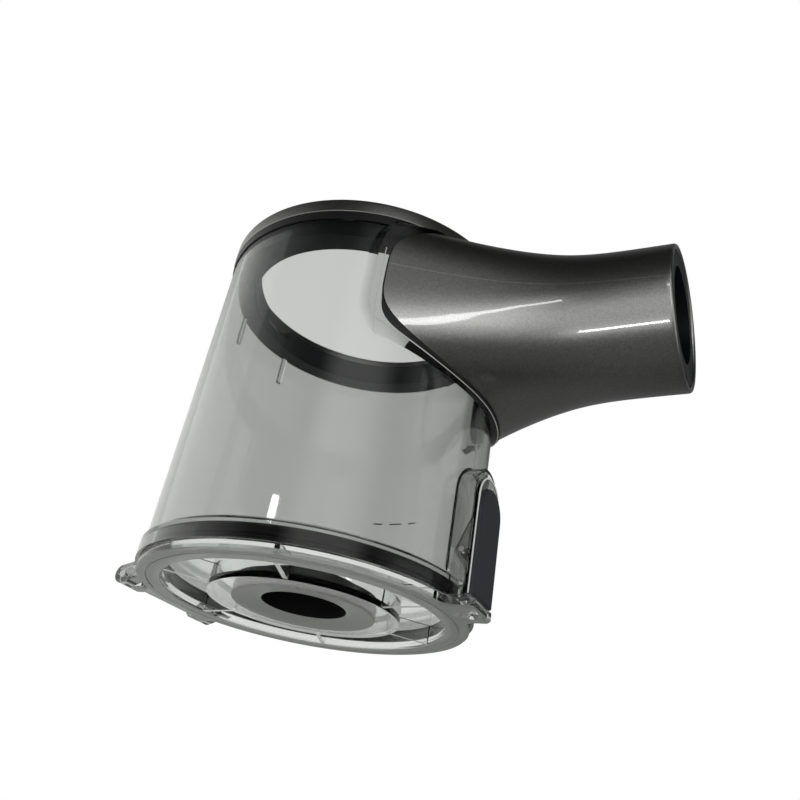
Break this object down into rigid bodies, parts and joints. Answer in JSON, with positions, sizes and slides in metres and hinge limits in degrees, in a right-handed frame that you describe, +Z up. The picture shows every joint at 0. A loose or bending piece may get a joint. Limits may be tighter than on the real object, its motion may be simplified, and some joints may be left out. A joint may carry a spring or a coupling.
{
  "type": "cyclone dust bin",
  "caption": "Clear round dust bin for a cyclone stick vacuum, with a flared painted inlet tube, a hinged bottom lid with seals and a sprung release latch.",
  "frame": {"origin": "on the bin's axis at the underside of the closed lid", "axes": "+Z up along the bin's axis to the open top, +X to the inlet tube and the latch, hinge on the -X side"},
  "size_m": [0.1943, 0.1188, 0.137],
  "materials": {
    "clear_smoke": "smoky clear moulding",
    "charcoal_paint": "metallic charcoal paint on plastic",
    "seal_black": "black rubber",
    "collar_dark": "dark grey moulding",
    "liner_black": "black moulding",
    "contact_brass": "plain brass",
    "clear_lid": "clear moulding with a frosted flange",
    "pin_steel": "plain steel",
    "pad_grey": "dark grey moulding"
  },
  "bodies": {
    "bin": {"bin_shell": "clear_smoke", "top_trim_ring": "charcoal_paint", "trim_seal": "seal_black", "upper_collar": "collar_dark", "inlet_shell": "charcoal_paint", "port_gasket": "seal_black", "inlet_liner": "liner_black", "mouth_ring": "collar_dark", "contact_block": "liner_black", "contact_terminals": "contact_brass", "hinge_pins": "pin_steel", "latch_pin": "pin_steel", "latch_spring": "pin_steel"},
    "lid": {"lid": "clear_lid", "lid_outer_seal": "seal_black", "lid_inner_seal": "seal_black"},
    "latch": {"latch_lever": "clear_smoke", "latch_pad": "pad_grey"}
  },
  "joints": [
    {"name": "lid_hinge", "type": "hinge", "parent": "bin", "child": "lid", "pos_m": [-0.0625, 0, 0.0034], "axis": [0, 1, 0], "range_deg": [0, 95]},
    {"name": "latch_press", "type": "hinge", "parent": "bin", "child": "latch", "pos_m": [0.0613, 0, 0.0183], "axis": [0, -1, 0], "range_deg": [0, 6], "stiffness_Nm_per_rad": 0.4, "deforming": ["latch_spring"]}
  ]
}
